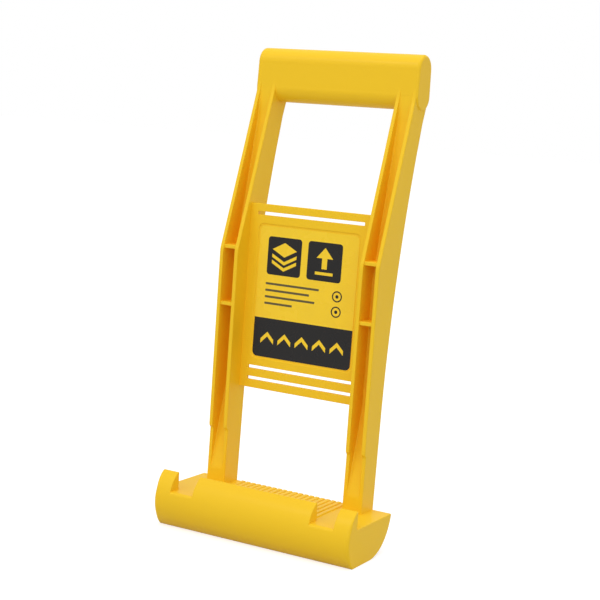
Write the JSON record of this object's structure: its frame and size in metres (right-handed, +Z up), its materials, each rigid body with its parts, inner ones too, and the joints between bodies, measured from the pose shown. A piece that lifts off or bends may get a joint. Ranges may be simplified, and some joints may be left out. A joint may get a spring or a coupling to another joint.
{
  "type": "panel carrier",
  "caption": "One-handed board carrier: a grip on two channel rails over a trough foot with a lip, with a flat plate for a label between the rails.",
  "frame": {"origin": "on the floor under the middle of the board slot, halfway between the lip and the rails, on the middle plane", "axes": "+X across towards the holder's right seen from the lip side, +Y from the lip towards the back of the grip, +Z up"},
  "size_m": [0.165, 0.1059, 0.365],
  "materials": {
    "yellow_plastic": "moulded, light satin",
    "label_film": "printed self-adhesive film"
  },
  "bodies": {
    "root": {"grip_shell": "yellow_plastic", "grip_left_end": "yellow_plastic", "grip_right_end": "yellow_plastic", "grip_ribs": "yellow_plastic", "left_rail_outer_wall": "yellow_plastic", "left_rail_inner_wall": "yellow_plastic", "left_rail_web": "yellow_plastic", "left_rail_front_ribs": "yellow_plastic", "left_rail_back_ribs": "yellow_plastic", "right_rail_outer_wall": "yellow_plastic", "right_rail_inner_wall": "yellow_plastic", "right_rail_web": "yellow_plastic", "right_rail_front_ribs": "yellow_plastic", "right_rail_back_ribs": "yellow_plastic", "label_plate": "yellow_plastic", "product_label": "label_film", "foot_deck": "yellow_plastic", "foot_front_shell": "yellow_plastic", "foot_left_end": "yellow_plastic", "foot_right_end": "yellow_plastic", "foot_ribs": "yellow_plastic", "centre_lip": "yellow_plastic", "left_lip_tab": "yellow_plastic", "right_lip_tab": "yellow_plastic", "seat_ridges": "yellow_plastic"}
  },
  "joints": []
}
